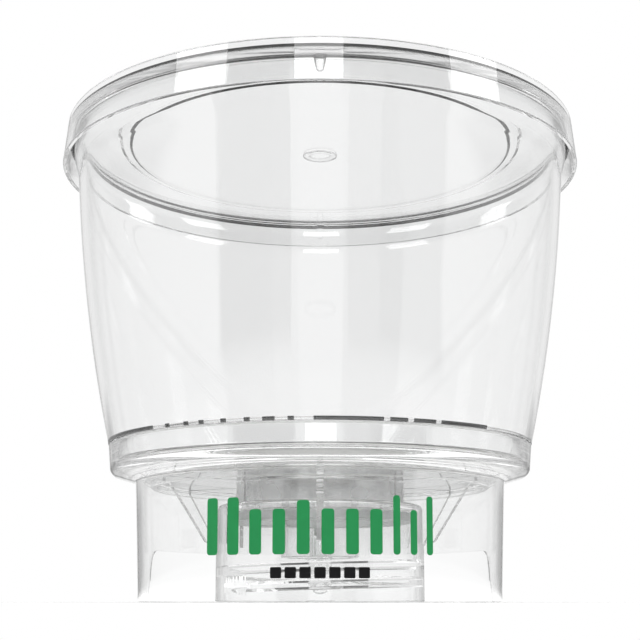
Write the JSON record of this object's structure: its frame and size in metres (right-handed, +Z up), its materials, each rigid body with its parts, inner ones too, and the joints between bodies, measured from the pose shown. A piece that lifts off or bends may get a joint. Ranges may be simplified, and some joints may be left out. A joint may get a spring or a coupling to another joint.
{
  "type": "vacuum filtration unit",
  "caption": "Bottle-top vacuum filter: a clear funnel with a loose lid and a membrane, welded on a screw-on base with drip spout, standing skirt and hose port.",
  "frame": {"origin": "on the table, under the centre of the unit", "axes": "+Z up; the hose port faces +Y and the plain front of the skirt faces -Y"},
  "size_m": [0.13, 0.13, 0.1165],
  "materials": {
    "clear_styrene": "clear, polished moulded polystyrene",
    "membrane": "white, matt microporous membrane",
    "silicone": "white silicone, satin",
    "fibre": "white packed fibre"
  },
  "bodies": {
    "root": {"lid": "clear_styrene", "funnel": "clear_styrene", "membrane": "membrane", "base": "clear_styrene", "neck_gasket": "silicone", "hose_port": "clear_styrene", "port_plug": "fibre"}
  },
  "joints": []
}
